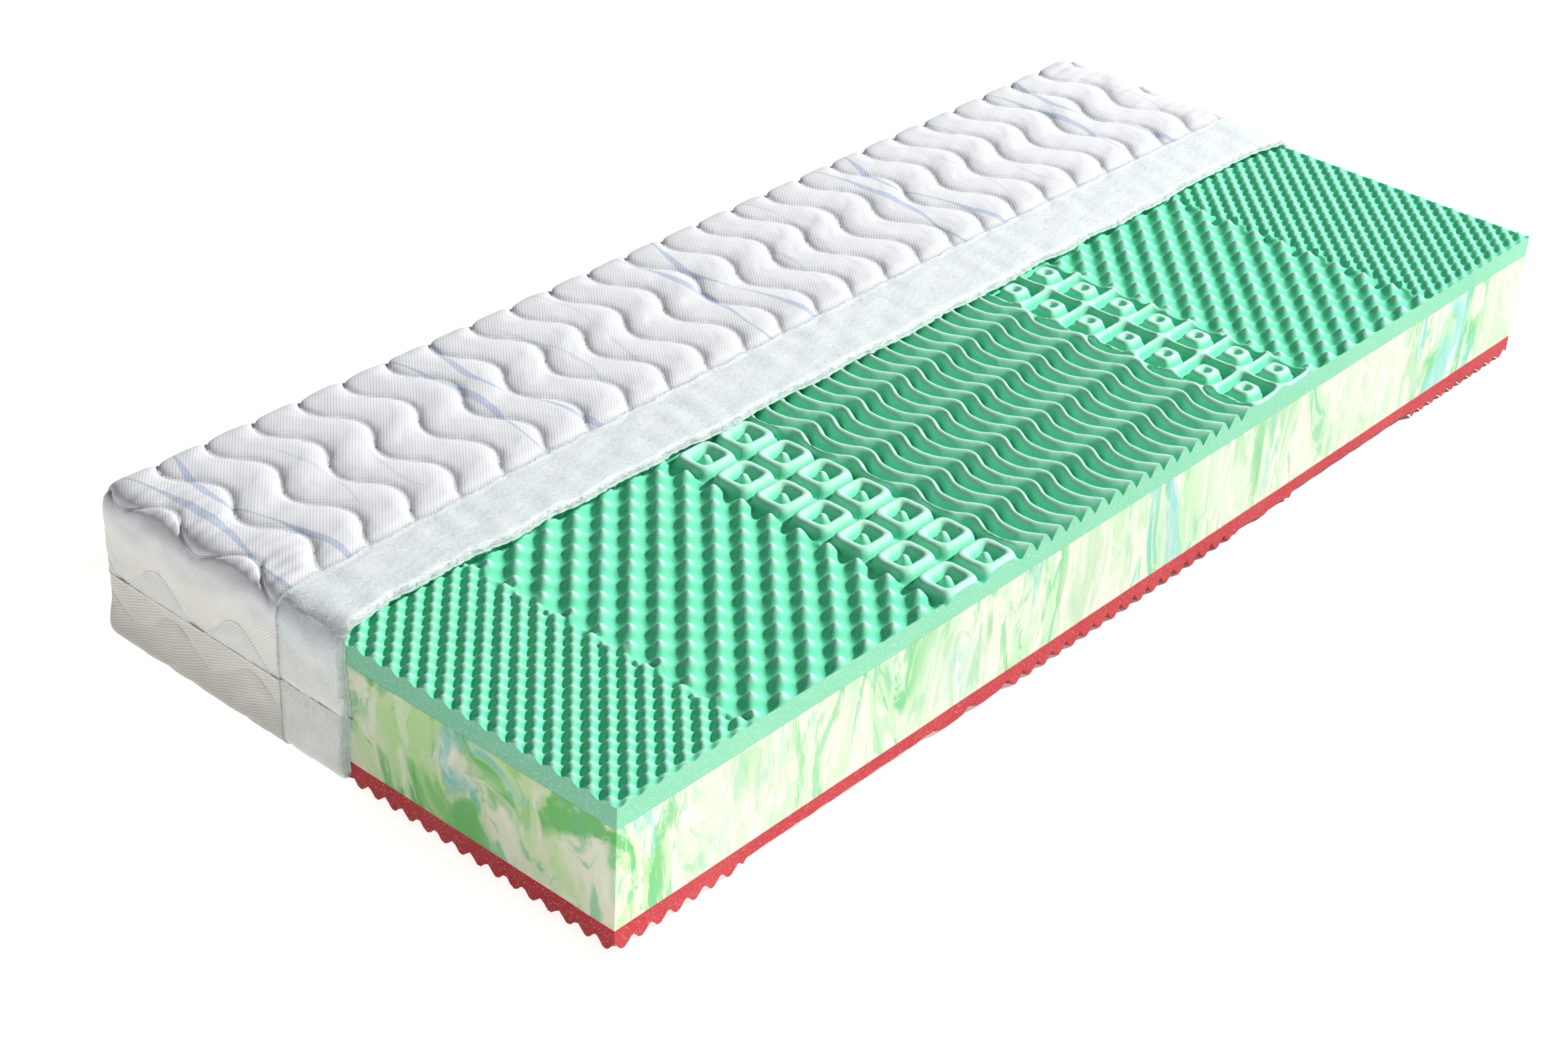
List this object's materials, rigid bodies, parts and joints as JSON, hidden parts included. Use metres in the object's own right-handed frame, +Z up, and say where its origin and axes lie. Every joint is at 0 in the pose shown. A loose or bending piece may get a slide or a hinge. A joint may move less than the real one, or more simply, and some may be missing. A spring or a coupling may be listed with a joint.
{
  "type": "memory foam mattress",
  "caption": "Single foam mattress with a zoned egg-crate top, marbled core and ridged base, shown with its quilted zip cover cut away over the front half.",
  "frame": {"origin": "middle of the part's box in plan, on the surface that the mattress lies on", "axes": "+X along the length, +Y from the exposed foam to the covered back with the zip, +Z up through the thickness"},
  "size_m": [2, 0.888, 0.221],
  "materials": {
    "green_foam": "matte",
    "marbled_foam": "matte",
    "red_foam": "matte",
    "glue": "matte",
    "cover_knit": "matte",
    "wadding": "matte",
    "fleece": "matte",
    "seam_tape": "matte",
    "zip_tape": "matte",
    "zip_coil": "satin",
    "zip_metal": "satin"
  },
  "bodies": {
    "core": {"comfort_layer": "green_foam", "comfort_glue_film": "glue", "support_core": "marbled_foam", "base_glue_film": "glue", "base_layer": "red_foam"},
    "cover": {"upper_cover_fabric": "cover_knit", "upper_wadding": "wadding", "upper_backing_fleece": "fleece", "lower_cover_fabric": "cover_knit", "lower_wadding": "wadding", "lower_backing_fleece": "fleece", "end_seam_near": "seam_tape", "end_seam_far": "seam_tape", "zip_tape_upper": "zip_tape", "zip_tape_lower": "zip_tape", "zip_coil_upper": "zip_coil", "zip_coil_lower": "zip_coil", "zip_stop_near": "zip_metal", "zip_stop_far": "zip_metal"},
    "zip_slider": {"zip_slider": "zip_metal"},
    "zip_puller": {"zip_puller": "zip_metal"}
  },
  "joints": [
    {"name": "cover_slide", "type": "slide", "parent": "core", "child": "cover", "axis": [0, 1, 0], "range_m": [0, 0.5]},
    {"name": "zip_slide", "type": "slide", "parent": "cover", "child": "zip_slider", "axis": [1, 0, 0], "range_m": [0, 1.838]},
    {"name": "puller_swing", "type": "hinge", "parent": "zip_slider", "child": "zip_puller", "pos_m": [-0.931, 0.442, 0.099], "axis": [0, 0, 1], "range_deg": [0, 160]}
  ]
}
